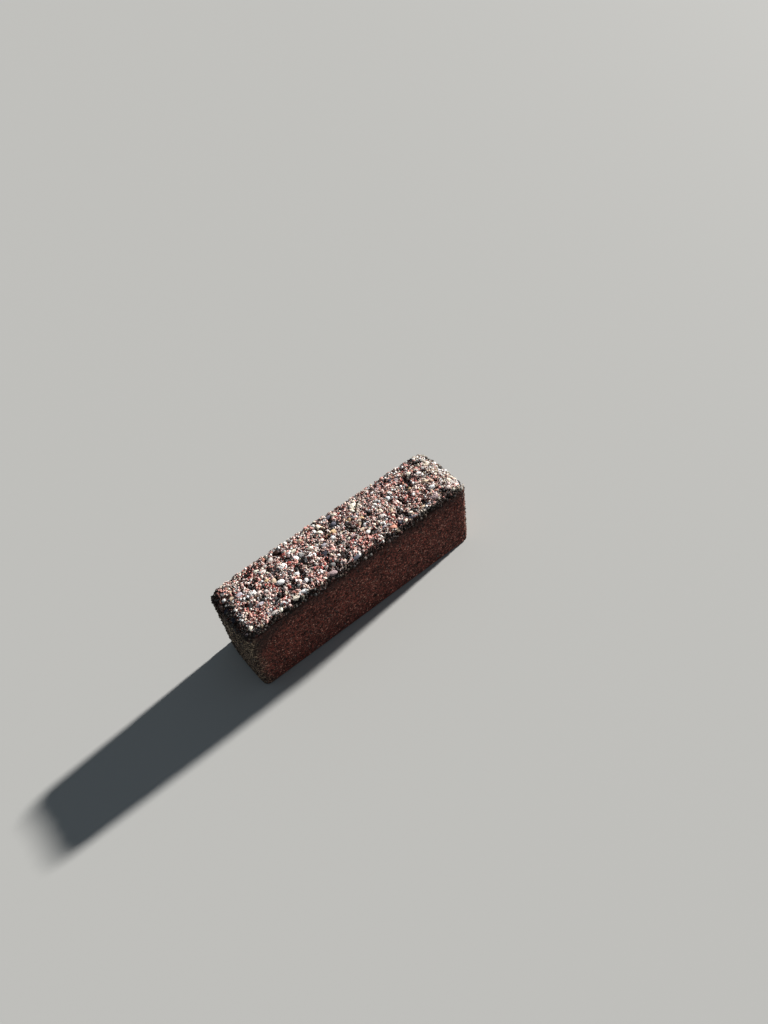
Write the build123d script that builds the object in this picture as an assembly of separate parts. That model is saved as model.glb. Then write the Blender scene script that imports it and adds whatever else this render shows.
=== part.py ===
from build123d import *
import os
from math import sqrt

os.makedirs("parts", exist_ok=True)

# A pressed concrete paving brick, one casting, with the face that was walked on turned up.
# All sizes are in millimetres. X runs along the brick, Y across it and Z up.
# The origin is on the ground, under the middle of the brick.

# Overall size of the worn casting, over the tops of its stones
length = 200.0
width = 52.0
height = 66.0

# On the face that was walked on, the mortar has worn down this far below the highest stones
mortar_wear = 1.0

# That face is worn into a low crown, highest at its middle.
# These are its drops from there to the long arrises and to the start of the rolled-off ends.
crown_across = 1.2
crown_along = 0.6

# Towards both ends the worn face rolls off: length of this run, and the radius of its curve
end_run = 13.0
end_roll_radius = 30.0

# Rounding of the arrises: round the worn face, down the four corners and round the bed
face_arris_radius = 4.0
corner_radius = 5.0
bed_arris_radius = 2.0

# The end walls stand out in the middle by this much, as the mould left them
end_bulge = 1.2

# Corner broken off the worn face: depth from the square corner, and radius of the hollow
face_chip_depth = 7.5
face_chip_radius = 7.0

# Corner broken off beside the bed
bed_chip_depth = 4.0
bed_chip_radius = 8.0

# The larger stones of the worn face, with broken sides and worn tops. Each has its place along
# and across the brick as shares of its length and width, the length of its top, and how far
# that top lies below the highest one.
stones = [
    (-0.455, 0.32, 7.5, 1.5),
    (-0.418, 0.14, 6.5, 0.9),
    (-0.378, 0.04, 5.0, 0.5),
    (-0.382, -0.19, 7.0, 0.8),
    (-0.315, -0.37, 5.5, 1.0),
    (-0.300, 0.25, 5.0, 0.7),
    (-0.278, -0.07, 5.0, 0.3),
    (-0.240, 0.12, 8.0, 0.1),
    (-0.135, 0.00, 7.5, 0.0),
    (-0.120, 0.34, 5.0, 0.7),
    (-0.087, -0.08, 7.0, 0.3),
    (-0.020, 0.13, 8.0, 0.2),
    (0.032, -0.13, 5.0, 0.4),
    (0.070, -0.12, 5.0, 0.4),
    (0.120, 0.34, 5.5, 0.6),
    (0.160, -0.38, 6.0, 0.9),
    (0.165, -0.12, 5.5, 0.3),
    (0.270, 0.27, 5.5, 0.7),
    (0.355, -0.34, 10.0, 0.3),
    (0.388, -0.19, 5.0, 0.5),
    (0.393, -0.05, 5.0, 0.7),
]

# Hollows that stones left in the worn face: place as above, length of the bottom, and its depth
# below the highest stones
hollows = [
    (-0.248, -0.16, 5.0, 2.6),
    (-0.205, -0.19, 6.0, 2.8),
    (-0.080, -0.34, 5.0, 2.8),
    (0.290, 0.01, 5.0, 2.4),
    (0.350, 0.24, 5.0, 2.8),
    (0.410, 0.27, 6.0, 3.0),
]

# Shape of the stones: share of their length that they are wide, how far they reach down into
# the mortar, and the slope of their sides in degrees, which the hollows have too
stone_width_share = 0.8
stone_depth = 3.5
stone_slope = 28.0

# How far the solid that trims the worn face runs past the block
overrun = 5.0


def plan_outline():
    """The block seen from above: straight long sides, bulged ends and rounded corners."""
    half_width = width / 2
    corner_x = length / 2 - end_bulge
    with BuildSketch() as plan:
        with BuildLine():
            Line((-corner_x, -half_width), (corner_x, -half_width))
            ThreePointArc((corner_x, -half_width), (length / 2, 0), (corner_x, half_width))
            Line((corner_x, half_width), (-corner_x, half_width))
            ThreePointArc((-corner_x, half_width), (-length / 2, 0), (-corner_x, -half_width))
        make_face()
        fillet(plan.vertices(), radius=corner_radius)
    return plan.sketch


def arc_radius(half_chord, drop):
    """Radius of the arc that falls by the drop between its middle and half a chord away."""
    return (half_chord**2 + drop**2) / (2 * drop)


def worn_height(x):
    """Height of the worn face along its middle: a low crown that rolls off past its shoulders."""
    middle = height - mortar_wear
    shoulder = length / 2 - end_run
    crown_radius = arc_radius(shoulder, crown_along)
    if abs(x) <= shoulder:
        return middle - crown_radius + sqrt(crown_radius**2 - x**2)
    past = abs(x) - shoulder
    slope = shoulder / crown_radius
    return middle - crown_along - past * slope - past**2 / (2 * end_roll_radius)


def wear_line():
    """The worn face seen from the side, as one smooth curve that runs on past both ends."""
    shoulder = length / 2 - end_run
    ahead = [
        shoulder / 2,
        shoulder - end_run,
        shoulder - end_run / 3,
        shoulder + end_run / 3,
        length / 2,
        length / 2 + overrun,
    ]
    stations = [-x for x in reversed(ahead)] + [0] + ahead
    with BuildLine(Plane.XZ) as profile:
        Spline([(x, worn_height(x)) for x in stations])
    return profile.wire()


def worn_away():
    """What wear took off the block: the crowned section swept along the line of wear."""
    path = wear_line()
    section_radius = arc_radius(width / 2, crown_across)
    reach = width / 2 + overrun
    edge_height = sqrt(section_radius**2 - reach**2) - section_radius
    top = 3 * overrun
    start = Plane(path @ 0, x_dir=(0, 1, 0), z_dir=path % 0)
    with BuildSketch(start) as section:
        with BuildLine():
            ThreePointArc((-reach, edge_height), (0, 0), (reach, edge_height))
            Polyline((reach, edge_height), (reach, top), (-reach, top), (-reach, edge_height))
        make_face()
    return sweep(section.sketch, path=path)


def worn_block():
    """The block under its worn face, with the arrises of that face and of the bed rounded."""
    block = extrude(plan_outline(), amount=height + overrun) - worn_away()
    worn_face = block.faces().sort_by(Axis.Z)[-1]
    block = fillet(worn_face.edges(), radius=face_arris_radius)
    bed = block.faces().sort_by(Axis.Z)[0]
    return fillet(bed.edges(), radius=bed_arris_radius)


def broken_corner(corner, outward, depth, radius):
    """The shell-shaped hollow of a broken corner: a ball reaching that deep into the block."""
    centre = Vector(corner) + Vector(outward).normalized() * (radius - depth)
    return Pos(centre) * Sphere(radius)


def stone_outline(number, size):
    """A broken stone seen from above: five to seven corners on an oval, turned its own way."""
    corners = 5 + number % 3
    first = Vector(size / 2, 0)
    round_ones = [first.rotate(Axis.Z, 360 / corners * corner) for corner in range(corners)]
    oval = [(point.X, point.Y * stone_width_share) for point in round_ones]
    return Polygon(*oval, rotation=number * 40)


def standing_stones():
    """The larger stones, seated in the mortar, with their worn tops standing out of it."""
    made = []
    for number, (along, across, size, below) in enumerate(stones):
        top = Pos(along * length, across * width, height - below) * stone_outline(number, size)
        made.append(extrude(top, amount=-stone_depth, taper=-stone_slope))
    return made


def empty_hollows():
    """What fell out of the worn face: blocks that widen upwards and reach past its top."""
    made = []
    for number, (along, across, size, below) in enumerate(hollows):
        foot = Pos(along * length, across * width, height - below) * stone_outline(number, size)
        made.append(extrude(foot, amount=below + overrun, taper=-stone_slope))
    return made


def brick():
    """The worn block with its stones and hollows, without the two corners that broke off it."""
    end_x = length / 2
    side_y = width / 2
    face_chip = broken_corner(
        (-end_x, side_y, height), (-1, 1, 1), face_chip_depth, face_chip_radius
    )
    bed_chip = broken_corner((end_x, -side_y, 0), (1, -1, -1), bed_chip_depth, bed_chip_radius)
    return worn_block() + standing_stones() - empty_hollows() - face_chip - bed_chip


export_step(brick(), "parts/brick.step")
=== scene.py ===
"""A worn concrete paving brick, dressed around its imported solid."""

import math

import bpy
import numpy as np
from bpy.props import FloatProperty, FloatVectorProperty, IntProperty, PointerProperty
from bpy.types import Operator, Panel, PropertyGroup
from mathutils import Matrix, Vector, noise


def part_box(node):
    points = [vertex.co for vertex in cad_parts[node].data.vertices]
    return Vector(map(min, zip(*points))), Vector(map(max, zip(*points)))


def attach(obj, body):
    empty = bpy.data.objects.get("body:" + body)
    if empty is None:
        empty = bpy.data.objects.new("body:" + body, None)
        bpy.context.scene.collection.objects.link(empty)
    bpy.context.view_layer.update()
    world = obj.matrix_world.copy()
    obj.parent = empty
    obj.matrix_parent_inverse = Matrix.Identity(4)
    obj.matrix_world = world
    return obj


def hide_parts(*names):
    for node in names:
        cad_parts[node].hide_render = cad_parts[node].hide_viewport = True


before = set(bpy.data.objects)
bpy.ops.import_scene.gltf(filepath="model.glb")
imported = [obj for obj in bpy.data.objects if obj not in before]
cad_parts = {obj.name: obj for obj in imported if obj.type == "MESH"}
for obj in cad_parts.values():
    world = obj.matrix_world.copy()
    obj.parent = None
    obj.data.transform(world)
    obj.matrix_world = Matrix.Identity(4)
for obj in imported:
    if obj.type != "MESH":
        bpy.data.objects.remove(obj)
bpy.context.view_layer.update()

bl_info = {
    "name": "Worn Paving Brick",
    "version": (1, 0, 0),
    "blender": (4, 5, 0),
    "location": "3D View > Sidebar > Paving Brick",
    "description": "Dresses a concrete paving brick with worn mortar, exposed grains and grime",
    "category": "Add Mesh",
}

NODE = "brick"
BODY = "root"
MM = 0.001

LOW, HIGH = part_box(NODE)
LENGTH = HIGH.x - LOW.x
WIDTH = HIGH.y - LOW.y
HEIGHT = HIGH.z - LOW.z

# Crown of the solid's worn face: how deep its mortar lies at the middle, and how much deeper at
# the start of the rolled ends and at the long arrises
MORTAR_WEAR = 1.0 * MM
CROWN_ALONG = 0.6 * MM
CROWN_ACROSS = 1.2 * MM
SHOULDER = LENGTH / 2 - 13 * MM

# How far the body is sunk under the crust and under the grains of the sides, how far the lower
# edge of the crust dips into the body, and how far a grain may stand out of the long sides
TOP_SINK = 5 * MM
SIDE_SINK = 0.35 * MM
CRUST_DIP = 1.6 * MM
GRAIN_REACH = 0.6 * MM

# Steps in which the weights of the body's vertex groups are given
WEIGHT_STEPS = 20

# Places drawn at a time for the grains of the worn face and of the sides, and how often places
# are drawn for one class of grains before the worn face counts as full
FACE_DRAW = 4000
SIDE_DRAW = 2000
FACE_ROUNDS = 40


def srgb(red, green, blue):
    """A colour as a screen shows it, in the linear values that Blender works in."""
    return tuple((c / 255 / 12.92) if c < 10 else ((c / 255 + 0.055) / 1.055) ** 2.4
                 for c in (red, green, blue))


# Stones that stand out on the worn face: place along and across the brick, size along and
# across, how far the top stands over the skin of the solid, all in millimetres, and the mineral
LARGE_STONES = (
    (-91, 16.5, 9, 7.5, 0.2, "slate blue"),
    (-93.5, 12, 4, 4.5, 0.6, "white quartz"),
    (-88, 9, 5.5, 5, 0.5, "buff"),
    (-83.6, 7.3, 7.5, 6.5, 0.2, "lavender grey"),
    (-75.6, 2.1, 6.5, 5.5, 0.3, "white quartz"),
    (-76.4, -9.9, 8.5, 7, 0.2, "lavender grey"),
    # Painted shade: the three dark stones at x -96 darken the rolled -X end, which turns away from
    # the lamp
    (-96, 4, 6, 8, 0.3, "indigo"),
    (-96.5, -5, 5, 8, 0.2, "indigo"),
    (-96, -13, 5.5, 7, 0.3, "black"),
    (-71.5, -0.5, 5, 4.5, 0.7, "pale pink"),
    (-67.5, -3, 4.5, 5, 0.7, "ash grey"),
    (-60, 13, 6.5, 5.5, 0.2, "ash grey"),
    (-58.2, 7, 5, 5, 0.3, "slate blue"),
    (-61.8, 4.6, 4.5, 3.5, 0.5, "ochre"),
    (-55.6, -3.8, 6.5, 6, 0.4, "white quartz"),
    (-48, 6.2, 9.5, 8.5, 0.4, "white quartz"),
    (-36, 7, 5, 6.5, 0.8, "white quartz"),
    (-33.5, 13, 5.5, 4, 0.8, "cream"),
    (-45, -12, 4, 5.5, 0.9, "pale pink"),
    (-41, -14.5, 4.5, 5, 0.9, "white quartz"),
    (-63, -19.8, 6.5, 5, 0.4, "white quartz"),
    (-54.5, -21.5, 6, 3.6, 0.6, "cream"),
    (-47, -21, 6.5, 3.4, 0.6, "white quartz"),
    (-72.5, -21, 6.5, 3.6, 0.5, "ash grey"),
    (-91, -20.5, 4.5, 3.6, 0.6, "cream"),
    (-92, -10.5, 4, 7, 0.6, "white quartz"),
    (-27, 0, 9, 8, 0.4, "white quartz"),
    (-24, 17.6, 6.5, 5.5, 0.4, "buff"),
    (-22.5, 6, 5.5, 5.5, 0.9, "cream"),
    (-14.4, 1.6, 5, 4, 0.7, "lavender grey"),
    (-17.4, -4.2, 8.5, 7.5, 0.2, "indigo"),
    (-13.2, 6.5, 4.5, 5, 0.8, "pale pink"),
    (-9.5, 14, 5, 5, 0.8, "cream"),
    (-7, 19, 4.5, 6, 0.8, "cream"),
    (-6, 2.4, 5, 5, 0.9, "white quartz"),
    (-4, 6.8, 9.5, 6.5, 0.3, "ochre"),
    (-4, -22.6, 8, 4, 0.4, "slate blue"),
    (-24, -22, 7.5, 4, 0.4, "mauve grey"),
    (2.6, -6.4, 4.5, 4.5, 0.7, "cream"),
    (6.4, -6.8, 6, 5.5, 0.3, "mauve grey"),
    (2.5, 13.5, 5, 5, 0.6, "slate blue"),
    (14, -6.2, 6.5, 5.5, 0.4, "buff"),
    (24, 17.7, 7, 6, 0.4, "cream"),
    (21.5, 2.5, 4, 5, 0.6, "ochre"),
    (27, -4.4, 5.5, 5, 0.7, "pale pink"),
    (33, -6.3, 6.5, 6, 0.4, "ash grey"),
    (28, -15, 5, 4.5, 0.7, "lavender grey"),
    (32, -19.8, 7.5, 6, 0.4, "rust"),
    (38.5, -19, 5, 6.5, 0.4, "indigo"),
    (43.5, -21.5, 5, 5, 0.6, "cream"),
    (49, -22, 6.5, 4.5, 0.5, "slate blue"),
    (42, -7, 6, 5.5, 0.7, "buff"),
    (47, 18, 6.5, 5.5, 0.6, "mauve grey"),
    (54, 14, 7, 6, 0.4, "pale pink"),
    (47.5, 4.5, 5, 5.5, 0.8, "white quartz"),
    (58, -0.5, 6.5, 4, 0.4, "mauve grey"),
    (64, 15, 5, 5, 0.5, "mauve grey"),
    (60.5, -20, 5.5, 4.5, 0.6, "buff"),
    (65.5, -20.5, 5, 3.6, 0.7, "lavender grey"),
    (71.2, -17.7, 12, 10, 0.4, "mauve grey"),
    (77.6, -9.9, 6, 5, 0.4, "white quartz"),
    (78.6, -2.6, 6.5, 6, 0.3, "buff"),
    (75, 13, 5.5, 5, 0.8, "cream"),
    (80.5, 8, 4.5, 4.5, 0.7, "white quartz"),
    (87, -18, 5, 5, 0.6, "pale pink"),
    (93, -12, 5, 7, 0.5, "cream"),
    (93.5, -20, 5.5, 5, 0.4, "pale pink"),
    (93.5, 13, 5, 6, 0.5, "cream"),
    (-43, 21.5, 6, 4.5, 0.7, "black"),
    (-50.5, 18.5, 6, 4.5, 0.6, "ash grey"),
    (3, 22, 6.5, 4, 0.6, "slate blue"),
)

# Minerals of the grains: colour, and how common the grain is away from and inside red patches
MINERALS = {
    "white quartz": (srgb(248, 242, 236), 29, 17),
    "cream": (srgb(243, 226, 207), 22, 10),
    "pale pink": (srgb(244, 212, 202), 23, 27),
    "ash grey": (srgb(206, 198, 192), 5, 2),
    "mauve grey": (srgb(154, 134, 134), 2, 1),
    "lavender grey": (srgb(170, 165, 172), 1, 1),
    "slate blue": (srgb(94, 96, 108), 2, 1),
    "indigo": (srgb(46, 47, 58), 2, 1),
    "black": (srgb(38, 20, 14), 9, 7),
    "buff": (srgb(216, 192, 166), 5, 2),
    "ochre": (srgb(208, 178, 138), 1, 1),
    "rust": (srgb(202, 144, 124), 2, 5),
    "pink": (srgb(238, 172, 160), 14, 36),
    "brick red": (srgb(178, 92, 85), 2, 20),
}

# Red patches of the worn face: place along and across the brick, and radius, in millimetres
RED_PATCHES = (
    (-66, 15, 10), (-60, -7, 9), (-83, -13, 7), (-86, 12, 4), (-40, 0, 7), (-33, -17, 7),
    (-23, -6, 6), (9, -15, 10), (12, 18, 6), (28, 4, 6), (38, -14, 6), (54, 15, 8), (71, 11, 8),
    (54, -6, 9), (72, -6, 5),
)

# Grains of the worn face, coarse to fine. Kind of grain, fineness of its mesh, how many shapes it
# has, the smallest and the largest size in millimetres, how close they may lie as a share of
# their radii, the smallest and the largest share of a grain that stands out of the crust, how far
# they tip in radians, and how much they gather in the red patches
PEBBLES = ("pebble", 2, 6, (3.2, 6.0), 0.8, (0.15, 0.45), 0.5, 0.25)
GRIT = ("grit", 2, 6, (1.7, 3.4), 0.72, (0.25, 0.7), 1.2, 0.8)
SAND = ("chipping", 1, 10, (0.8, 1.5), 0.6, (0.1, 0.6), 1.5, 1.0)

# Minerals made more common at the +X end of the worn face, as a painted highlight where the lamp
# lights that end, and at the -X end, as painted shade where the rolled end turns away from the
# lamp
END_HIGHLIGHT_MINERALS = ("cream", "buff", "white quartz")
END_SHADE_MINERALS = ("indigo", "slate blue", "black")


# Helpers for objects, meshes and noise

def active(obj):
    """Makes the object the only one selected, and the one that operators work on."""
    bpy.ops.object.select_all(action="DESELECT")
    obj.select_set(True)
    bpy.context.view_layer.objects.active = obj


def apply_modifiers(obj):
    """Applies the object's modifiers, first to last."""
    active(obj)
    for modifier in list(obj.modifiers):
        bpy.ops.object.modifier_apply(modifier=modifier.name)


def points_of(mesh):
    """The mesh's points as an array of rows."""
    points = np.empty(len(mesh.vertices) * 3, np.float32)
    mesh.vertices.foreach_get("co", points)
    return points.reshape(-1, 3).astype(float)


def triangles_of(mesh):
    """The mesh's triangles, each as the numbers of its three points."""
    mesh.calc_loop_triangles()
    corners = np.empty(len(mesh.loop_triangles) * 3, np.int32)
    mesh.loop_triangles.foreach_get("vertices", corners)
    return corners.reshape(-1, 3)


def smoothstep(low, high, value):
    """0 below low, 1 above high, and a smooth rise between them."""
    share = np.clip((value - low) / (high - low), 0, 1)
    return share * share * (3 - 2 * share)


def noise_at(points, size, seed):
    """Smooth noise from -1 to 1 at each point, with lumps of the given size in metres."""
    shift = Vector((seed * 17.3, seed * -9.1, seed * 4.7))
    return np.array([noise.noise(Vector(p) / size + shift) for p in points])


# The values that a user would change

class BrickSizes(PropertyGroup):
    """Sizes of the relief and counts of the grains"""

    body_step: FloatProperty(
        name="Body step", description="Spacing of the points of the body's surface",
        default=0.85 * MM, unit="LENGTH")
    crust_step: FloatProperty(
        name="Crust step", description="Spacing of the points of the worn crust",
        default=0.44 * MM, unit="LENGTH")
    worn_band: FloatProperty(
        name="Worn band", description="How far down the sides the wear of the top face reaches",
        default=6.0 * MM, unit="LENGTH")
    crust_lift: FloatProperty(
        name="Crust lift", description="How far the tops of the sand stand over the solid",
        default=0.5 * MM, unit="LENGTH")
    hollow_depth: FloatProperty(
        name="Hollow depth", description="Depth of the hollows that stones left behind",
        default=1.5 * MM, unit="LENGTH")
    side_relief: FloatProperty(
        name="Side relief", description="Roughness in height of the moulded sides",
        default=0.4 * MM, unit="LENGTH")
    pit_count: IntProperty(
        name="Pits", description="Pits in the sides", default=600, min=0)
    pebble_count: IntProperty(
        name="Pebbles", description="Grains of 3.2 to 6 mm", default=150, min=0)
    grit_count: IntProperty(
        name="Grit", description="Grains of 1.7 to 3.4 mm", default=1250, min=0)
    sand_count: IntProperty(
        name="Coarse sand", description="Grains of 0.8 to 1.5 mm", default=6200, min=0)
    side_grit_count: IntProperty(
        name="Side grains", description="Grains that show in the sides", default=4600, min=0)
    seed: IntProperty(name="Seed", description="Start of the random draws", default=7)


class BrickColours(PropertyGroup):
    """Colours of the mortar, the dirt and painted shade, and the floor"""

    mortar: FloatVectorProperty(
        name="Mortar", description="Red pigmented mortar of the worn face", subtype="COLOR",
        size=3, default=srgb(152, 90, 80), min=0, max=1)
    mortar_dark: FloatVectorProperty(
        name="Dark mortar", description="Weathered mortar of the sides", subtype="COLOR", size=3,
        default=srgb(96, 50, 42), min=0, max=1)
    mortar_base: FloatVectorProperty(
        name="Base mortar", description="Fresher mortar near the bed", subtype="COLOR", size=3,
        default=srgb(90, 46, 40), min=0, max=1)
    # Grime, and painted shade where the soot mask darkens the -Y arris and the rolled -X end
    grime_and_shade: FloatVectorProperty(
        name="Grime", description="Black grime under the worn arrises", subtype="COLOR", size=3,
        default=srgb(33, 26, 23), min=0, max=1)
    # Dirt and painted shade: this dark colour fills the gaps between sand cells, the lowest parts
    # of the grains and the hollows
    dirt_and_shade: FloatVectorProperty(
        name="Hollow", description="Dirt at the bottom of the hollows", subtype="COLOR", size=3,
        default=srgb(46, 17, 11), min=0, max=1)
    crust: FloatVectorProperty(
        name="Crust", description="Sandy crust on the ends", subtype="COLOR", size=3,
        default=srgb(190, 170, 142), min=0, max=1)
    floor: FloatVectorProperty(
        name="Floor", description="Plain pale floor", subtype="COLOR", size=3,
        default=srgb(180, 180, 177), min=0, max=1)


# The node helpers of the materials

def add_node(tree, kind, **settings):
    """A new node with its properties and its inputs set by name."""
    node = tree.nodes.new(kind)
    for key, value in settings.items():
        if hasattr(node, key):
            setattr(node, key, value)
        else:
            node.inputs[key.replace("_", " ")].default_value = value
    return node


def ramp(tree, value, low, high, low_out=0.0, high_out=1.0):
    """A smooth map of a value from low..high to low_out..high_out."""
    node = add_node(tree, "ShaderNodeMapRange", interpolation_type="SMOOTHSTEP")
    tree.links.new(value, node.inputs["Value"])
    node.inputs["From Min"].default_value = low
    node.inputs["From Max"].default_value = high
    node.inputs["To Min"].default_value = low_out
    node.inputs["To Max"].default_value = high_out
    return node.outputs["Result"]


def maths(tree, operation, first, second=None):
    """One step of arithmetic on values or sockets."""
    node = add_node(tree, "ShaderNodeMath", operation=operation)
    for socket, value in zip(node.inputs, (first, second)):
        if value is None:
            continue
        if isinstance(value, (int, float)):
            socket.default_value = value
        else:
            tree.links.new(value, socket)
    return node.outputs[0]


def times(tree, first, second):
    """The product of two values or sockets."""
    return maths(tree, "MULTIPLY", first, second)


def mixed(tree, share, first, second):
    """Two colours mixed by a share."""
    node = add_node(tree, "ShaderNodeMix", data_type="RGBA")
    for number, value in ((0, share), (6, first), (7, second)):
        socket = node.inputs[number]
        if isinstance(value, bpy.types.NodeSocket):
            tree.links.new(value, socket)
        elif isinstance(value, (int, float)):
            socket.default_value = value
        else:
            socket.default_value = (*value, 1.0)
    return node.outputs[2]


def grain_noise(tree, place, size, detail=3.0, roughness=0.55):
    """Noise with lumps of the given size in metres."""
    node = add_node(tree, "ShaderNodeTexNoise", Scale=1 / size, Detail=detail, Roughness=roughness)
    tree.links.new(place, node.inputs["Vector"])
    return node.outputs["Fac"]


def cells(tree, place, size):
    """Round cells of the given size in metres: the distance from the middle of the cell, and
    three random draws that belong to it."""
    node = add_node(tree, "ShaderNodeTexVoronoi", Scale=1 / size)
    tree.links.new(place, node.inputs["Vector"])
    draws = tree.nodes.new("ShaderNodeSeparateColor")
    tree.links.new(node.outputs["Color"], draws.inputs[0])
    return node.outputs["Distance"], *draws.outputs


def palette(tree, value, steps):
    """Plain colours in steps: each holds from its share of the value on."""
    node = add_node(tree, "ShaderNodeValToRGB")
    band = node.color_ramp
    band.interpolation = "CONSTANT"
    band.elements.remove(band.elements[-1])
    for number, (share, colour) in enumerate(steps):
        element = band.elements.new(share) if number else band.elements[0]
        element.position = share
        element.color = (*colour, 1.0)
    tree.links.new(value, node.inputs["Fac"])
    return node.outputs["Color"]


def brightened(tree, colour, factor):
    """A colour made lighter or darker by a factor."""
    node = tree.nodes.new("ShaderNodeHueSaturation")
    tree.links.new(colour, node.inputs["Color"])
    tree.links.new(factor, node.inputs["Value"])
    return node.outputs["Color"]


def surface(name):
    """A new material: its tree, its shader and the place on the object."""
    material = bpy.data.materials.new(name)
    material.use_nodes = True
    tree = material.node_tree
    shader = tree.nodes["Principled BSDF"]
    place = tree.nodes.new("ShaderNodeTexCoord").outputs["Object"]
    return material, tree, shader, place


def bumped(tree, shader, height, distance, strength=1.0, under=None):
    """Bump on the shader from a height of 0 to 1."""
    node = add_node(tree, "ShaderNodeBump", Strength=strength, Distance=distance)
    tree.links.new(height, node.inputs["Height"])
    if under is not None:
        tree.links.new(under, node.inputs["Normal"])
    if shader is not None:
        tree.links.new(node.outputs["Normal"], shader.inputs["Normal"])
    return node.outputs["Normal"]


# The finishes

def mortar_material(colours):
    """Weathered red mortar of the sides, grimy under the worn face and crusted on the ends; the
    dark crust on the +X end is partly painted shade, against the lamp that lights that end head
    on.
    """
    material, tree, shader, place = surface("red_mortar")
    axes = tree.nodes.new("ShaderNodeSeparateXYZ")
    tree.links.new(place, axes.inputs[0])
    along, height = axes.outputs["X"], axes.outputs["Z"]

    blotches = grain_noise(tree, place, 15 * MM, 4)
    lumps = grain_noise(tree, place, 3.0 * MM, 4)
    fine = grain_noise(tree, place, 1.3 * MM, 4, 0.75)

    colour = mixed(tree, ramp(tree, blotches, 0.32, 0.7), colours.mortar_dark,
                   [c * 1.45 for c in colours.mortar_dark])
    low = maths(tree, "ADD", height, times(tree, blotches, -24 * MM))
    colour = mixed(tree, ramp(tree, low, -6 * MM, 16 * MM, 0.8, 0.0), colour, colours.mortar_base)
    colour = mixed(tree, ramp(tree, lumps, 0.3, 0.56, 0.6, 0.0), colour, colours.dirt_and_shade)

    distance, *draws = cells(tree, place, 1.2 * MM)
    inside = ramp(tree, distance, 0.46, 0.6, 1.0, 0.0)
    pale = times(tree, ramp(tree, draws[0], 0.72, 1.0), inside)
    dark = times(tree, ramp(tree, draws[1], 0.6, 0.7), inside)
    rosy = times(tree, ramp(tree, draws[2], 0.62, 0.72), inside)
    colour = mixed(tree, times(tree, rosy, 0.7), colour, srgb(140, 72, 60))
    colour = mixed(tree, times(tree, dark, 0.85), colour, srgb(22, 15, 14))
    colour = mixed(tree, pale, colour, srgb(176, 128, 112))

    edge = maths(tree, "ADD", height, times(tree, blotches, 14 * MM))
    edge = maths(tree, "ADD", edge, times(tree, lumps, 5 * MM))
    spread = ramp(tree, along, -LENGTH / 2, 34 * MM - LENGTH / 2, 15 * MM, 0.0)
    edge = maths(tree, "ADD", edge, spread)
    band = times(tree, ramp(tree, edge, HEIGHT - 11 * MM, HEIGHT + 3 * MM),
                 ramp(tree, fine, 0.35, 0.6, 0.3, 1.0))
    colour = mixed(tree, times(tree, band, 0.92), colour, colours.grime_and_shade)

    ragged = maths(tree, "ADD", along, times(tree, lumps, 9 * MM))
    # Grime and painted shade: the +X end, lit head on by the lamp, is darkened with dim crust
    far_end_grime_and_shade = ramp(tree, ragged, LENGTH / 2 - 2 * MM, LENGTH / 2 + 5 * MM)
    far_end_grime_and_shade = times(tree, far_end_grime_and_shade, ramp(tree, fine, 0.4, 0.62, 0.25, 0.8))
    colour = mixed(tree, far_end_grime_and_shade, colour, [c * 0.2 for c in colours.crust])
    ragged = maths(tree, "ADD", ragged, times(tree, blotches, 14 * MM))
    end = ramp(tree, ragged, 12 * MM - LENGTH / 2, 22 * MM - LENGTH / 2, 1.0, 0.0)
    colour = mixed(tree, times(tree, end, 0.85), colour, colours.grime_and_shade)
    crumbs = times(tree, ramp(tree, fine, 0.48, 0.6, 0.0, 0.6),
                   ramp(tree, lumps, 0.36, 0.56, 0.4, 1.0))
    colour = mixed(tree, times(tree, crumbs, end), colour, colours.crust)

    speckle = ramp(tree, fine, 0.39, 0.61, 0.12, 2.1)
    tree.links.new(brightened(tree, colour, speckle), shader.inputs["Base Color"])

    shader.inputs["Specular IOR Level"].default_value = 0.25
    tree.links.new(ramp(tree, fine, 0.2, 0.8, 0.82, 0.98), shader.inputs["Roughness"])
    coarse = bumped(tree, None, lumps, 1.1 * MM, 0.9)
    grains = bumped(tree, None, ramp(tree, distance, 0.1, 0.6, 1.0, 0.0), 0.45 * MM, 1.0, coarse)
    bumped(tree, shader, fine, 0.5 * MM, 1.0, grains)
    return material


def grain_inputs(tree):
    """The mineral colour, the height in the relief and the dirt and painted shade that a mesh
    stores.
    """
    tint = add_node(tree, "ShaderNodeAttribute", attribute_name="tint").outputs["Color"]
    rise = add_node(tree, "ShaderNodeAttribute", attribute_name="rise").outputs["Fac"]
    soot_and_shade = add_node(tree, "ShaderNodeAttribute", attribute_name="soot_and_shade").outputs["Fac"]
    return tint, rise, soot_and_shade


def filmed_and_shaded(tree, colours, colour, rise, mottle, mortar, dirt_and_shade):
    """What lies low under a film of red mortar, and lower still under painted shade in the dark
    colour. Both films are given by the height where they are full, the height where they end, and
    their share."""
    film = maths(tree, "ADD", rise, times(tree, mottle, 0.5))
    for cover, (full, end, share) in ((colours.mortar, mortar), (colours.dirt_and_shade, dirt_and_shade)):
        colour = mixed(tree, ramp(tree, film, full, end, share, 0.0), colour, cover)
    return colour


def sooted_and_shaded(tree, colours, colour, soot_and_shade, mottle):
    """Grime and painted shade on top of all, a little uneven."""
    share = times(tree, soot_and_shade, ramp(tree, mottle, 0.3, 0.6, 0.8, 1.0))
    return mixed(tree, share, colour, colours.grime_and_shade)


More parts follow.
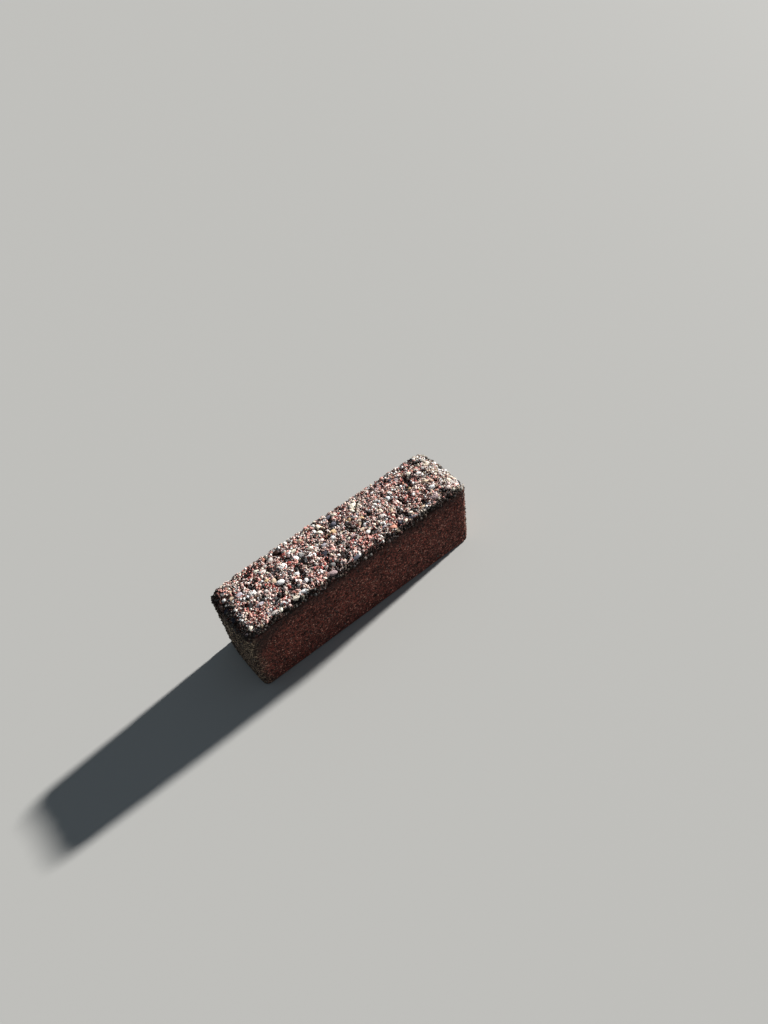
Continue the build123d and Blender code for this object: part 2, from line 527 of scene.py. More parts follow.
def crust_material(colours):
    """Worn mortar full of sand: each grain has its own colour, with dark red mortar and painted
    shade between.
    """
    material, tree, shader, place = surface("sandy_mortar")
    tint, rise, soot_and_shade = grain_inputs(tree)
    mottle = grain_noise(tree, place, 1.2 * MM, 4, 0.65)
    fine = grain_noise(tree, place, 0.4 * MM, 3, 0.7)
    distance, *draws = cells(tree, place, 1.0 * MM)

    grains = palette(tree, draws[0], (
        (0.0, srgb(44, 22, 18)),
        (0.16, srgb(168, 90, 80)),
        (0.3, srgb(232, 162, 150)),
        (0.54, srgb(246, 212, 200)),
        (0.76, srgb(252, 242, 234)),
        (0.96, srgb(118, 110, 118)),
    ))
    own = ramp(tree, draws[1], 0.45, 0.46)
    colour = mixed(tree, own, tint, grains)
    colour = brightened(tree, colour, ramp(tree, draws[2], 0.0, 1.0, 0.78, 1.0))
    # Dark mortar and painted shade in the gaps between the sand cells
    gap_mortar_and_shade = ramp(tree, distance, 0.54, 0.68)
    colour = mixed(tree, times(tree, gap_mortar_and_shade, 0.85), colour, colours.dirt_and_shade)
    colour = filmed_and_shaded(tree, colours, colour, rise, mottle, (0.3, 0.46, 0.7), (0.26, 0.4, 0.97))
    colour = sooted_and_shaded(tree, colours, colour, soot_and_shade, mottle)
    tree.links.new(colour, shader.inputs["Base Color"])

    shader.inputs["Specular IOR Level"].default_value = 0.08
    shader.inputs["Roughness"].default_value = 0.95
    low = bumped(tree, None, ramp(tree, distance, 0.1, 0.7, 1.0, 0.0), 0.5 * MM)
    bumped(tree, shader, fine, 0.25 * MM, 0.9, low)
    return material


def grain_material(colours):
    """Stone grains: a mineral colour on top, red mortar further down, painted shade lowest, and
    dark specks.
    """
    material, tree, shader, place = surface("worn_grains")
    tint, rise, soot_and_shade = grain_inputs(tree)
    mottle = grain_noise(tree, place, 1.2 * MM, 4, 0.65)
    fine = grain_noise(tree, place, 0.45 * MM, 3, 0.7)

    patches = grain_noise(tree, place, 2.6 * MM, 4, 0.7)
    colour = mixed(tree, ramp(tree, patches, 0.52, 0.62, 0.0, 0.4), tint, srgb(132, 122, 124))
    colour = brightened(tree, colour, ramp(tree, mottle, 0.3, 0.7, 0.8, 1.15))
    colour = filmed_and_shaded(tree, colours, colour, rise, mottle, (0.22, 0.4, 0.7), (0.23, 0.38, 0.95))
    colour = mixed(tree, ramp(tree, fine, 0.64, 0.74, 0.0, 0.6), colour, colours.dirt_and_shade)
    colour = sooted_and_shaded(tree, colours, colour, soot_and_shade, mottle)
    tree.links.new(colour, shader.inputs["Base Color"])

    shader.inputs["Specular IOR Level"].default_value = 0.15
    tree.links.new(ramp(tree, mottle, 0.3, 0.7, 0.65, 0.95), shader.inputs["Roughness"])
    low = bumped(tree, None, mottle, 0.45 * MM, 0.9)
    bumped(tree, shader, fine, 0.25 * MM, 0.9, low)
    return material


# The body and the worn crust

def worn_share(points, band):
    """How worn each point is: 1 on the top face, fading out down the sides."""
    ragged = noise_at(points, 9 * MM, 3) * 3.0 * MM + noise_at(points, 3 * MM, 4) * 1.5 * MM
    height = points[:, 2] + ragged
    return smoothstep(HEIGHT - band - 2 * MM, HEIGHT - band + 2 * MM, height)


def clouds(name, size, depth=2):
    """A lumpy texture for the Displace modifier."""
    texture = bpy.data.textures.new(name, "CLOUDS")
    texture.noise_scale = size
    texture.noise_depth = depth
    texture.noise_basis = "ORIGINAL_PERLIN"
    return texture


def displace(obj, name, strength, texture=None, group=""):
    """Adds a Displace modifier along the normals."""
    modifier = obj.modifiers.new(name, "DISPLACE")
    modifier.strength = strength
    modifier.vertex_group = group
    if texture is None:
        modifier.mid_level = 0.0
    else:
        modifier.texture = texture
        modifier.texture_coords = "LOCAL"
        modifier.mid_level = 0.5


def normals_of(mesh):
    """The outward direction at each of the mesh's points."""
    normals = np.empty(len(mesh.vertices) * 3, np.float32)
    mesh.vertices.foreach_get("normal", normals)
    return normals.reshape(-1, 3).astype(float)


def paint(mesh, tints, rises, soot_and_shade_values):
    """Stores each point's mineral colour, its height in the relief and its dirt and painted shade.
    """
    tint = mesh.attributes.new("tint", "FLOAT_COLOR", "POINT")
    tint.data.foreach_set("color", np.asarray(tints, np.float32).ravel())
    for title, values in (("rise", rises), ("soot_and_shade", soot_and_shade_values)):
        attribute = mesh.attributes.new(title, "FLOAT", "POINT")
        attribute.data.foreach_set("value", np.asarray(values, np.float32))


def carve_pits(mesh, rng, count):
    """Pits of sand grains that fell out of the moulded sides: many small ones, a few large."""
    points, normals = points_of(mesh), normals_of(mesh)
    steep = np.flatnonzero((np.abs(normals[:, 2]) < 0.5) & (points[:, 2] < HEIGHT - 6 * MM))
    ragged = 1 + 0.7 * noise_at(points, 2 * MM, 21)
    for centre in rng.choice(steep, count, replace=False):
        radius = (0.8 + 2.2 * rng.beta(1, 5)) * MM
        apart = np.linalg.norm(points - points[centre], axis=1) * ragged
        near = apart < radius
        depth = rng.uniform(0.3, 0.75) * radius
        drop = depth * (1 - (apart[near] / radius) ** 2)
        points[near] -= normals[near] * drop[:, None]
    mesh.vertices.foreach_set("co", points.astype(np.float32).ravel())
    mesh.update()


def remeshed_copy(name, step):
    """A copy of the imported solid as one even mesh, whose points lie the given step apart."""
    copy = bpy.data.objects.new(name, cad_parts[NODE].data.copy())
    bpy.context.scene.collection.objects.link(copy)
    copy.data.name = name
    copy.data.materials.clear()
    active(copy)
    bpy.ops.object.mode_set(mode="EDIT")
    bpy.ops.mesh.select_all(action="SELECT")
    bpy.ops.mesh.remove_doubles(threshold=0.01 * MM)
    bpy.ops.object.mode_set(mode="OBJECT")
    remesh = copy.modifiers.new("remesh", "REMESH")
    remesh.mode = "VOXEL"
    remesh.voxel_size = step
    apply_modifiers(copy)
    return copy


def cast_body(sizes, colours):
    """The body: moulded sides, ends and bed. Its top is sunk, and the worn crust covers it."""
    rng = np.random.default_rng(sizes.seed)
    body = remeshed_copy("brick_body", sizes.body_step)
    points = points_of(body.data)
    worn = worn_share(points, sizes.worn_band)
    sides = (1 - worn) * smoothstep(1.5 * MM, 4 * MM, points[:, 2])
    for name, weights in (("worn", worn), ("sides", sides)):
        group = body.vertex_groups.new(name=name)
        for level in range(1, WEIGHT_STEPS + 1):
            chosen = np.flatnonzero(np.round(weights * WEIGHT_STEPS) == level)
            group.add(chosen.tolist(), level / WEIGHT_STEPS, "REPLACE")

    displace(body, "worn_down", -TOP_SINK, None, "worn")
    displace(body, "sides_down", -SIDE_SINK, None, "sides")
    displace(body, "side_swells", sizes.side_relief * 1.5, clouds("swells", 12 * MM, 2), "sides")
    displace(body, "side_grain", sizes.side_relief * 1.3, clouds("grain", 1.8 * MM, 1), "sides")
    apply_modifiers(body)
    carve_pits(body.data, rng, sizes.pit_count)
    bpy.ops.object.shade_smooth()
    body.vertex_groups.clear()
    body.data.materials.append(mortar_material(colours))
    return body


def cells_at(points, size, seed):
    """Packed cells of about the given size: distances to the nearest middle and to the next
    one, the way from the middle, and three random draws that belong to the cell."""
    shift = Vector((seed * 5.1, seed * 3.7, seed * -8.3))
    count = len(points)
    gaps, middles = np.empty((count, 2)), np.empty((count, 3))
    for number, point in enumerate(points):
        distances, centres = noise.voronoi(Vector(point) / size + shift)
        gaps[number] = distances[:2]
        middles[number] = centres[0]
    mix = np.array(((127.1, 269.5, 113.5), (311.7, 183.3, 271.9), (74.7, 246.1, 124.6)))
    draws = np.modf(np.abs(np.sin(middles @ mix)) * 4375.85)[0]
    away = points / size + np.array(shift) - middles
    return gaps[:, 0], gaps[:, 1], away, draws


def facets(points, size, seed, depth, spread, tilt):
    """Relief of packed grains of one size: tilted tops of uneven height, with valleys between."""
    near, following, away, draws = cells_at(points, size, seed)
    plateau = smoothstep(0.02, 0.24, following - near)
    slope = (away * (draws - 0.5)).sum(1) * 2 * tilt
    top = depth + (draws[:, 0] - 0.5) * spread + slope
    return plateau * top - depth, plateau, draws


def ledge(outward):
    """How far the long arrises differ from the solid's rounding: the one at +Y is broken and
    stands out of it, and the one at -Y is worn steeper and lies under it."""
    aside, lengthwise = outward[..., 1], np.abs(outward[..., 0])
    share = smoothstep(0.1, 0.45, outward[..., 2]) * (1 - smoothstep(0.1, 0.35, lengthwise))
    proud = 0.7 * smoothstep(0.15, 0.55, aside) - 0.8 * smoothstep(0.25, 0.7, -aside)
    return MM * share * proud


def hollow_shade_at(places, heights):
    """How deep in a hollow each place lies: 0 on the worn face, 1 where it is painted dark as
    shade.
    """
    along, across = places[..., 0] / SHOULDER, places[..., 1] / (WIDTH / 2)
    crown = HEIGHT - MORTAR_WEAR - CROWN_ALONG * along**2 - CROWN_ACROSS * across**2
    inner = 1 - smoothstep(0.94, 1.0, np.abs(along))
    inner *= 1 - smoothstep(0.78, 0.88, np.abs(across))
    below = (crown - places[..., 2]) * inner - heights
    return smoothstep(0.45 * MM, 1.3 * MM, below)


def worn_crust(sizes, material):
    """The worn face: mortar and broken sand in uneven relief, with hollows where stones fell out.
    It keeps where each point lay on the solid's skin, so that grains can be set on it."""
    crust = remeshed_copy("worn_crust", sizes.crust_step)
    bpy.ops.object.mode_set(mode="EDIT")
    bpy.ops.mesh.select_all(action="SELECT")
    bpy.ops.mesh.bisect(
        plane_co=(0, 0, HEIGHT - sizes.worn_band - TOP_SINK),
        plane_no=(0, 0, 1),
        use_fill=False,
        clear_inner=True,
    )
    bpy.ops.object.mode_set(mode="OBJECT")
    mesh = crust.data
    skin = points_of(mesh)
    outward = normals_of(mesh)

    worn = worn_share(skin, sizes.worn_band)
    swells = noise_at(skin, 11 * MM, 11)
    gaps = noise_at(skin, 4.6 * MM, 12) + 0.3 * noise_at(skin, 1.8 * MM, 13)
    hollows = smoothstep(0.11, 0.32, gaps)
    large, wide, _ = facets(skin, 4.2 * MM, 1, 0.6 * MM, 0.6 * MM, 0.8 * MM)
    small, narrow, draws = facets(skin, 1.9 * MM, 2, 0.7 * MM, 0.4 * MM, 0.9 * MM)
    rough = noise_at(skin, 0.9 * MM, 14) * 0.25 * MM
    height = sizes.crust_lift + large + small + rough + 0.4 * MM * swells
    room = 0.3 * MM + 0.6 * MM * smoothstep(0.2, 0.8, outward[:, 2])
    height = np.minimum(height - sizes.hollow_depth * hollows, room) + ledge(outward)
    points = skin + outward * (worn * height - (1 - worn) * CRUST_DIP)[:, None]
    mesh.vertices.foreach_set("co", points.astype(np.float32).ravel())
    mesh.update()

    tints = np.array([
        tint_of(mineral_at(place, draw[0]), draw[1])
        for place, draw in zip(skin, draws)
    ])
    sunk = hollow_shade_at(skin, height - ledge(outward))
    # Painted shade: places deep in the hollows get a lower rise, so the dark film covers them
    rise = np.clip(0.12 + narrow * (0.6 + 0.35 * wide) - 0.8 * sunk + rough / MM, 0, 1)
    soot_and_shade = np.array([soot_and_shade_at(place) for place in skin])
    paint(mesh, np.column_stack((tints, np.ones(len(tints)))), rise, soot_and_shade)
    active(crust)
    bpy.ops.object.shade_smooth_by_angle(angle=math.radians(32))
    mesh.materials.append(material)
    return crust, skin, outward


# The grains

def grain_template(name, shape, subdivisions, cuts, rng, lumps):
    """One grain of about unit size: a ball, flattened, broken by flat cuts and made uneven."""
    bpy.ops.object.select_all(action="DESELECT")
    bpy.ops.mesh.primitive_ico_sphere_add(subdivisions=subdivisions, radius=0.5)
    grain = bpy.context.view_layer.objects.active
    grain.name = name
    bpy.ops.object.mode_set(mode="EDIT")
    bpy.ops.mesh.select_all(action="SELECT")
    bpy.ops.transform.resize(value=shape)
    for _ in range(cuts):
        direction = Vector(rng.normal(size=3)).normalized()
        direction.z = abs(direction.z) * 0.8 - 0.2
        reach = rng.uniform(0.27, 0.4)
        bpy.ops.mesh.select_all(action="SELECT")
        bpy.ops.mesh.bisect(
            plane_co=direction.normalized() * reach,
            plane_no=direction.normalized(),
            use_fill=True,
            clear_outer=True,
        )
    bpy.ops.mesh.select_all(action="SELECT")
    bpy.ops.mesh.remove_doubles(threshold=0.15 if subdivisions == 1 else 0.04)
    bpy.ops.mesh.quads_convert_to_tris()
    bpy.ops.object.mode_set(mode="OBJECT")
    displace(grain, "uneven", lumps, clouds(name + "_lumps", 0.45, 1))
    apply_modifiers(grain)
    mesh = grain.data
    points, triangles = points_of(mesh), triangles_of(mesh)
    points -= (points.max(0) + points.min(0)) / 2
    points /= (points.max(0) - points.min(0)).max()
    bpy.data.objects.remove(grain)
    return points, triangles


def grain_templates(rng, kind, subdivisions, count):
    """A set of grains: pebbles are rounded, chippings have broken faces."""
    made = []
    for number in range(count):
        shape = (1.0, rng.uniform(0.6, 1.0), rng.uniform(0.45, 0.85))
        broken = number % 3 > 0 or kind in ("chipping", "side", "grit")
        cuts = int(rng.integers(4, 8)) if broken else 0
        name = f"{kind}_{number}"
        lumps = 0.16 if broken else 0.22
        made.append(grain_template(name, shape, subdivisions, cuts, rng, lumps))
    return made


class Skin:
    """A skin to set grains on: random places on it, each with its outward direction.
    Where the skin is in relief, its level holds where the points lay before."""

    def __init__(self, rng, mesh, level=None, outward=None):
        self.rng = rng
        self.points = points_of(mesh)
        self.level = self.points if level is None else level
        self.corners = triangles_of(mesh)
        start, first, second = (self.level[self.corners[:, i]] for i in range(3))
        cross = np.cross(first - start, second - start)
        size = np.linalg.norm(cross, axis=1)
        flat = cross / np.maximum(size, 1e-15)[:, None]
        self.outward = flat if outward is None else outward[self.corners[:, 0]]
        self.chance = size / size.sum()

    def draw(self, count):
        """Places, their heights over the level and their outward directions, evenly spread."""
        chosen = self.rng.choice(len(self.chance), count, p=self.chance)
        shares = self.rng.dirichlet((1, 1, 1), count)[:, :, None]
        corners = self.corners[chosen]
        places = (self.level[corners] * shares).sum(1)
        heights = (((self.points[corners] * shares).sum(1) - places) * self.outward[chosen]).sum(1)
        return places, heights, self.outward[chosen]


class Crowd:
    """The places taken so far, kept in cells so that the neighbours of a place are found fast."""

    def __init__(self, cell=4 * MM):
        self.cell = cell
        self.taken = {}

    def key(self, place):
        return tuple(int(math.floor(c / self.cell)) for c in place)

    def clear(self, place, radius, closeness):
        """Whether a grain there keeps its share of distance from all taken places."""
        i, j, k = self.key(place)
        for x in (i - 2, i - 1, i, i + 1, i + 2):
            for y in (j - 2, j - 1, j, j + 1, j + 2):
                for z in (k - 2, k - 1, k, k + 1, k + 2):
                    for other, size in self.taken.get((x, y, z), ()):
                        if math.dist(place, other) < (radius + size) * closeness:
                            return False
        return True

    def add(self, place, radius):
        self.taken.setdefault(self.key(place), []).append((tuple(place), radius))


def seated(outward, rng, spin, tilt):
    """A turn for a stone whose long side keeps to the brick's, near enough."""
    stand = Vector((0, 0, 1)).rotation_difference(Vector(outward)).to_matrix()
    turn = Matrix.Rotation(rng.normal(0, spin), 3, "Z")
    lean = Matrix.Rotation(rng.normal(0, tilt), 3, "X")
    return np.array(stand @ turn @ lean)


def turned_to(outward, rng, tilt):
    """A turn that stands a grain's Z on the outward direction, spun and tilted at random."""
    stand = Vector(outward).to_track_quat("Z", "Y").to_matrix()
    spin = Matrix.Rotation(rng.uniform(0, 2 * math.pi), 3, "Z")
    angle = rng.normal(0, tilt)
    axis = Vector((*rng.normal(size=2), 0.001)).normalized()
    lean = Matrix.Rotation(angle, 3, axis)
    return np.array(stand @ lean @ spin)


class GrainHeap:
    """Collects grains and joins them into one mesh."""

    def __init__(self):
        self.points, self.faces, self.tints, self.rises, self.soot_and_shade_values = [], [], [], [], []
        self.count = 0

    def add(self, template, place, outward, size, turn, top, tint, soot_and_shade):
        """One grain whose highest point lies the given height over the place."""
        shape, triangles = template
        points = (shape * size) @ turn.T
        heights = points @ outward
        span = np.ptp(heights)
        rise = 1.15 * (heights - heights.min()) / span - 0.1
        points += place + outward * (top - heights.max())
        reach = np.array([LENGTH / 2, WIDTH / 2]) + GRAIN_REACH
        points[:, :2] -= np.maximum(points[:, :2].max(0) - reach, 0)
        points[:, :2] += np.maximum(-reach - points[:, :2].min(0), 0)
        self.points.append(points)
        self.faces.append(triangles + self.count)
        self.tints.append(np.tile((*tint, 1.0), (len(points), 1)))
        self.rises.append(np.clip(rise, 0, 1))
        self.soot_and_shade_values.append(np.full(len(points), soot_and_shade))
        self.count += len(points)

    def join(self, name, material, sharp):
        """The heap as one finished piece."""
        points, faces = np.concatenate(self.points), np.concatenate(self.faces)
        mesh = bpy.data.meshes.new(name)
        mesh.vertices.add(len(points))
        mesh.vertices.foreach_set("co", points.astype(np.float32).ravel())
        mesh.loops.add(faces.size)
        mesh.loops.foreach_set("vertex_index", faces.astype(np.int32).ravel())
        mesh.polygons.add(len(faces))
        mesh.polygons.foreach_set("loop_start", np.arange(0, faces.size, 3, dtype=np.int32))
        mesh.update(calc_edges=True)
        paint(mesh, np.concatenate(self.tints), np.concatenate(self.rises),
              np.concatenate(self.soot_and_shade_values))
        mesh.validate()
        piece = bpy.data.objects.new(name, mesh)
        bpy.context.scene.collection.objects.link(piece)
        active(piece)
        bpy.ops.object.shade_smooth_by_angle(angle=math.radians(sharp))
        mesh.materials.append(material)
        return piece


def mineral_at(place, draw, redness=1.0):
    """The name of a grain's mineral: red and pink ones gather in patches, pale grains gather at
    the +X end of the worn face as a painted highlight, and dark grains gather at the -X end as
    painted shade."""
    ragged = 1 + 0.5 * noise.noise(Vector(place) / (6 * MM) + Vector((3.1, 7.7, 0.4)))
    patch = max(radius * MM / math.hypot(place[0] - x * MM, place[1] - y * MM, MM)
                for x, y, radius in RED_PATCHES)
    red = redness * float(smoothstep(0.7, 1.2, patch * ragged))
    # Painted highlight: more pale grains on the +X end, which the lamp lights
    end_highlight = float(smoothstep(LENGTH / 2 - 16 * MM, LENGTH / 2 - 4 * MM, place[0]))
    # Painted shade: more dark grains on the rolled -X end, which turns away from the lamp
    dark = float(smoothstep(LENGTH / 2 - 12 * MM, LENGTH / 2 - 2 * MM, -place[0]))
    weights = []
    for name, (_, common, in_red) in MINERALS.items():
        weight = common * (1 - red) + in_red * red
        weight *= 1 + 8 * end_highlight if name in END_HIGHLIGHT_MINERALS else 1 - 0.6 * end_highlight
        if name in END_SHADE_MINERALS:
            weight *= 1 + 6 * dark
        weights.append(weight)
    steps = np.cumsum(weights) / sum(weights)
    return list(MINERALS)[min(int(np.searchsorted(steps, draw)), len(steps) - 1)]


def tint_of(mineral, draw):
    """The mineral's colour, a little lighter or darker in each grain."""
    return np.clip(np.array(MINERALS[mineral][0]) * (0.92 + 0.24 * draw), 0.004, 0.9)


def soot_and_shade_at(place):
    """How dark a grain is made: nearly black under the others from dirt, on the arris at -Y from
    dirt and painted shade, and on the rolled end at -X from painted shade, where it turns away
    from the lamp."""
    broad, fine = (noise.noise(Vector(place) / size) for size in (8 * MM, 3 * MM))
    blotch = (broad + fine) * 1.5 * MM
    under = smoothstep(3.6 * MM, 4.8 * MM, HEIGHT - place[2] + blotch)
    clean = smoothstep(LENGTH / 2 - 10 * MM, LENGTH / 2 - 5 * MM, place[0])
    # Painted shade: the rolled -X end, which turns away from the lamp, is made nearly black
    rolled = smoothstep(LENGTH / 2 - 8.5 * MM, LENGTH / 2 - 6.5 * MM, 1.5 * blotch - place[0])
    # Grime and painted shade: the -Y arris, rounded away from the lamp, is darkened
    front_grime_and_shade = smoothstep(WIDTH / 2 - 3.8 * MM, WIDTH / 2 - 2.2 * MM, 1.2 * blotch - place[1])
    return float(max(under * (1 - 0.45 * clean), 0.9 * rolled, front_grime_and_shade * (1 - clean))) * 0.93


def tie(piece):
    """Ties a finished piece to the brick's body."""
    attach(piece, BODY)


def scatter(heap, crowd, skin, rng, count, grains):
    """Grains of one class, set on the worn crust one by one where there is room."""
    kind, subdivisions, shapes, sizes_mm, closeness, seat, tilt, redness = grains
    templates = grain_templates(rng, kind, subdivisions, shapes)
    placed = 0
    for _ in range(FACE_ROUNDS):
        places, heights, outwards = skin.draw(FACE_DRAW)
        for place, height, outward in zip(places, heights, outwards):
            fade = smoothstep(HEIGHT - 9 * MM, HEIGHT - 4 * MM, place[2])
            fade *= 1 - 0.6 * smoothstep(0.5, 0.9, -outward[1])
            if rng.random() > fade:
                continue
            size = rng.uniform(*sizes_mm) * MM
            if not crowd.clear(place, size / 2, closeness):
                continue
            crowd.add(place, size / 2)
            edge = float(ledge(outward))
            top = min(height + rng.uniform(*seat) * size, rng.normal(0.4, 0.3) * MM + 1.4 * edge)
            # Painted shade: grains deep in the hollows are darkened
            sunk = 0.95 * float(hollow_shade_at(place, height - edge))
            heap.add(
                templates[rng.integers(len(templates))],
                place,
                outward,
                np.array([size, size, size * rng.uniform(0.8, 1.1)]),
                turned_to(outward, rng, tilt),
                top,
                tint_of(mineral_at(place, rng.random(), redness), rng.random()) * (1 - sunk),
                soot_and_shade_at(place),
            )
            placed += 1
            if placed == count:
                return


def side_tint(colours, place, rng):
    """The colour of a grain in the sides: a mineral, or a film of sand-coloured crust or dark
    mortar; on the +X end the crust is a painted highlight where the lamp lights that end.
    """
    crust_and_end_highlight = 1 - smoothstep(4 * MM, 16 * MM, place[0] + LENGTH / 2)
    # Painted highlight: pale crust on the grains of the +X end, which the lamp lights
    crust_and_end_highlight += 0.6 * smoothstep(LENGTH / 2 - 5 * MM, LENGTH / 2 - 2 * MM, place[0])
    if rng.random() > 0.84:
        return tint_of(mineral_at(place, rng.random()), rng.random()) * 0.5
    if rng.random() < crust_and_end_highlight:
        return np.array(colours.crust) * rng.uniform(0.15, 0.85) ** 2
    return np.array(colours.mortar_dark) * rng.uniform(0.35, 1.5) ** 2


# The steps, one for each group of pieces

class BRICK_OT_body(Operator):
    """Cast body of the brick, with its worn mortar, pits and swells"""

    bl_idname = "brick.body"
    bl_label = "Body"

    def execute(self, context):
        scene = context.scene
        body = cast_body(scene.brick_sizes, scene.brick_colours)
        tie(body)
        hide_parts(NODE)
        return {"FINISHED"}


class BRICK_OT_worn_face(Operator):
    """Worn crust of the top face, with the stones, pebbles, grit and sand that stand out of it"""

    bl_idname = "brick.worn_face"
    bl_label = "Worn face"

    def execute(self, context):
        sizes = context.scene.brick_sizes
        material = grain_material(context.scene.brick_colours)
        rng = np.random.default_rng(sizes.seed + 1)
        crust, level, outward = worn_crust(sizes, crust_material(context.scene.brick_colours))
        tie(crust)
        skin = Skin(rng, crust.data, level, outward)
        crowd = Crowd()

        heap = GrainHeap()
        templates = grain_templates(rng, "stone", 3, 6)
        for x, y, long, across, proud, mineral in LARGE_STONES:
            nearest = np.argmin(np.hypot(level[:, 0] - x * MM, level[:, 1] - y * MM)
                                + 0.2 * (HEIGHT - level[:, 2]))
            place, up = level[nearest], outward[nearest]
            crowd.add(place, (long + across) / 4 * MM)
            heap.add(
                templates[rng.integers(len(templates))], place, up,
                np.array([long, across, across * 0.9]) * MM, seated(up, rng, 0.15, 0.12),
                proud * MM, tint_of(mineral, rng.uniform(0.45, 0.8)), 0.0,
            )
        scatter(heap, crowd, skin, rng, sizes.pebble_count, PEBBLES)
        tie(heap.join("aggregate_pebbles", material, 35))

        heap = GrainHeap()
        scatter(heap, crowd, skin, rng, sizes.grit_count, GRIT)
        tie(heap.join("aggregate_grit", material, 25))

        heap = GrainHeap()
        scatter(heap, crowd, skin, rng, sizes.sand_count, SAND)
        tie(heap.join("aggregate_sand", material, 20))
        return {"FINISHED"}


class BRICK_OT_side_grains(Operator):
    """Sand and grit that stand out a little from the moulded sides and ends"""

    bl_idname = "brick.side_grains"
    bl_label = "Side grains"

    def execute(self, context):
        sizes = context.scene.brick_sizes
        colours = context.scene.brick_colours
        material = grain_material(colours)
        rng = np.random.default_rng(sizes.seed + 2)
        skin = Skin(rng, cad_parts[NODE].data)
        crowd = Crowd(2 * MM)
        heap = GrainHeap()
        templates = grain_templates(rng, "side", 1, 8)
        placed = 0
        while placed < sizes.side_grit_count:
            places, _, outwards = skin.draw(SIDE_DRAW)
            for place, outward in zip(places, outwards):
                if place[2] > HEIGHT - 5 * MM or outward[2] < -0.5 or place[2] < 1.0 * MM:
                    continue
                on_end = abs(place[0]) > LENGTH / 2 - 4 * MM
                if not on_end and rng.random() < 0.4:
                    continue
                size = (0.7 + (2.0 if on_end else 1.2) * rng.beta(1, 2)) * MM
                if not crowd.clear(place, size / 2, 0.8):
                    continue
                crowd.add(place, size / 2)
                tint = side_tint(colours, place, rng)
                heap.add(
                    templates[rng.integers(len(templates))], place, outward,
                    np.array([size, size, size * 0.8]), turned_to(outward, rng, 0.6),
                    rng.uniform(-0.3, 0.5 if on_end else 0.1) * MM, tint, 0.8 * soot_and_shade_at(place),
                )
                placed += 1
                if placed == sizes.side_grit_count:
                    break
        tie(heap.join("side_grains", material, 25))
        return {"FINISHED"}


# The stage

class StageSettings(PropertyGroup):
    """Camera and light"""

    camera_place: FloatVectorProperty(
        name="Camera place", description="Where the camera stands", subtype="TRANSLATION",
        unit="LENGTH", size=3, default=(-0.1585, -0.3241, 0.4862))
    camera_target: FloatVectorProperty(
        name="Camera target", description="Point of the floor in the middle of the picture",
        subtype="TRANSLATION", unit="LENGTH", size=3, default=(0.0666, 0.0447, 0.0))
    camera_roll: FloatProperty(
        name="Camera roll", description="Turn of the camera about its line of sight",
        subtype="ANGLE", default=math.radians(-9.98))
    lens: FloatProperty(
        name="Lens", description="Focal length for a 36 mm sensor", default=27.04)
    key_power: FloatProperty(
        name="Key light", description="Strength of the soft key light", default=9.4)
    key_softness: FloatProperty(
        name="Key softness", description="How wide the key light is, seen from the brick",
        subtype="ANGLE", default=math.radians(3))
    key_height: FloatProperty(
        name="Key height", description="How high the key light stands above the floor",
        subtype="ANGLE", default=math.radians(20))
    key_turn: FloatProperty(
        name="Key turn", description="Turn of the key light from the brick's far end",
        subtype="ANGLE", default=math.radians(5))
    fill: FloatProperty(
        name="Fill light", description="Brightness of the surrounding light", default=0.15)


def plain_material(name, colour):
    """A matt material of one colour."""
    material = bpy.data.materials.new(name)
    material.use_nodes = True
    shader = material.node_tree.nodes["Principled BSDF"]
    shader.inputs["Base Color"].default_value = (*colour, 1.0)
    shader.inputs["Roughness"].default_value = 0.9
    shader.inputs["Specular IOR Level"].default_value = 0.1
    return material


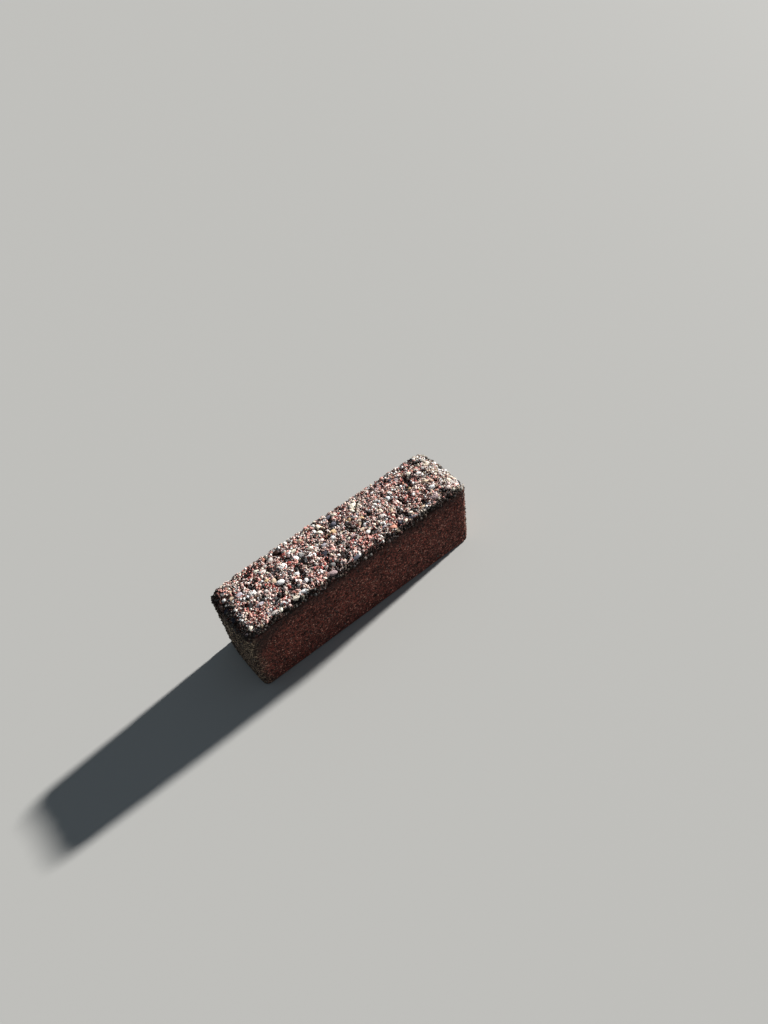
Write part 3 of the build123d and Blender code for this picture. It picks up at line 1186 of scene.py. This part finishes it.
class BRICK_OT_stage(Operator):
    """Pale floor, soft lamp, surrounding light and the camera"""

    bl_idname = "brick.stage"
    bl_label = "Stage"

    def execute(self, context):
        scene = context.scene
        stage = scene.brick_stage
        bpy.ops.object.select_all(action="DESELECT")
        bpy.ops.mesh.primitive_plane_add(size=30, location=(0, 0, 0))
        floor = context.view_layer.objects.active
        floor.name = "floor"
        floor.data.materials.append(plain_material("pale_floor", scene.brick_colours.floor))

        bpy.ops.object.light_add(type="SUN", location=(1.2, 0.1, 0.55))
        lamp = context.view_layer.objects.active
        lamp.name = "key_light"
        lamp.data.angle = stage.key_softness
        lamp.data.energy = stage.key_power
        lamp.data.color = (1.0, 0.975, 0.95)
        lift, turn = stage.key_height, stage.key_turn
        towards = Vector((math.cos(lift) * math.cos(turn), math.cos(lift) * math.sin(turn),
                          math.sin(lift)))
        lamp.rotation_euler = (-towards).to_track_quat("-Z", "Y").to_euler()

        world = bpy.data.worlds.new("soft_room")
        scene.world = world
        world.use_nodes = True
        tree = world.node_tree
        room = tree.nodes["Background"]
        room.inputs["Color"].default_value = (0.74, 0.87, 1.0, 1.0)
        room.inputs["Strength"].default_value = stage.fill
        wall = add_node(tree, "ShaderNodeBackground", Color=(0.57, 0.565, 0.54, 1.0), Strength=1.0)
        path = tree.nodes.new("ShaderNodeLightPath").outputs
        seen = maths(tree, "MAXIMUM", path["Is Camera Ray"], path["Is Glossy Ray"])
        seen = maths(tree, "MAXIMUM", seen, path["Is Transmission Ray"])
        either = tree.nodes.new("ShaderNodeMixShader")
        tree.links.new(seen, either.inputs[0])
        tree.links.new(room.outputs[0], either.inputs[1])
        tree.links.new(wall.outputs[0], either.inputs[2])
        tree.links.new(either.outputs[0], tree.nodes["World Output"].inputs["Surface"])

        place, target = Vector(stage.camera_place), Vector(stage.camera_target)
        bpy.ops.object.camera_add(location=place)
        camera = context.view_layer.objects.active
        camera.rotation_mode = "QUATERNION"
        level = (target - place).to_track_quat("-Z", "Y")
        roll = Matrix.Rotation(stage.camera_roll, 3, "Z").to_quaternion()
        camera.rotation_quaternion = level @ roll
        camera.data.sensor_width = 36.0
        camera.data.lens = stage.lens
        camera.data.clip_start = 0.01
        camera.data.dof.use_dof = False
        scene.camera = camera
        scene.view_settings.view_transform = "Standard"
        return {"FINISHED"}


class BRICK_PT_panel(Panel):
    """Sizes, colours and steps of the paving brick"""

    bl_idname = "BRICK_PT_panel"
    bl_label = "Paving Brick"
    bl_space_type = "VIEW_3D"
    bl_region_type = "UI"
    bl_category = "Paving Brick"

    def draw(self, context):
        layout = self.layout
        for group in (context.scene.brick_sizes, context.scene.brick_colours,
                      context.scene.brick_stage):
            box = layout.box()
            for name in group.__annotations__:
                box.prop(group, name)
        for step in STEPS:
            layout.operator(step.bl_idname)


GROUPS = (BrickSizes, BrickColours, StageSettings)
STEPS = (BRICK_OT_body, BRICK_OT_worn_face, BRICK_OT_side_grains, BRICK_OT_stage)


def register():
    for cls in (*GROUPS, *STEPS, BRICK_PT_panel):
        bpy.utils.register_class(cls)
    bpy.types.Scene.brick_sizes = PointerProperty(type=BrickSizes)
    bpy.types.Scene.brick_colours = PointerProperty(type=BrickColours)
    bpy.types.Scene.brick_stage = PointerProperty(type=StageSettings)


def unregister():
    del bpy.types.Scene.brick_stage
    del bpy.types.Scene.brick_colours
    del bpy.types.Scene.brick_sizes
    for cls in reversed((*GROUPS, *STEPS, BRICK_PT_panel)):
        bpy.utils.unregister_class(cls)


def main():
    """Runs each step in order."""
    register()
    bpy.ops.brick.body()
    bpy.ops.brick.worn_face()
    bpy.ops.brick.side_grains()
    bpy.ops.brick.stage()


if __name__ == "__main__":
    main()
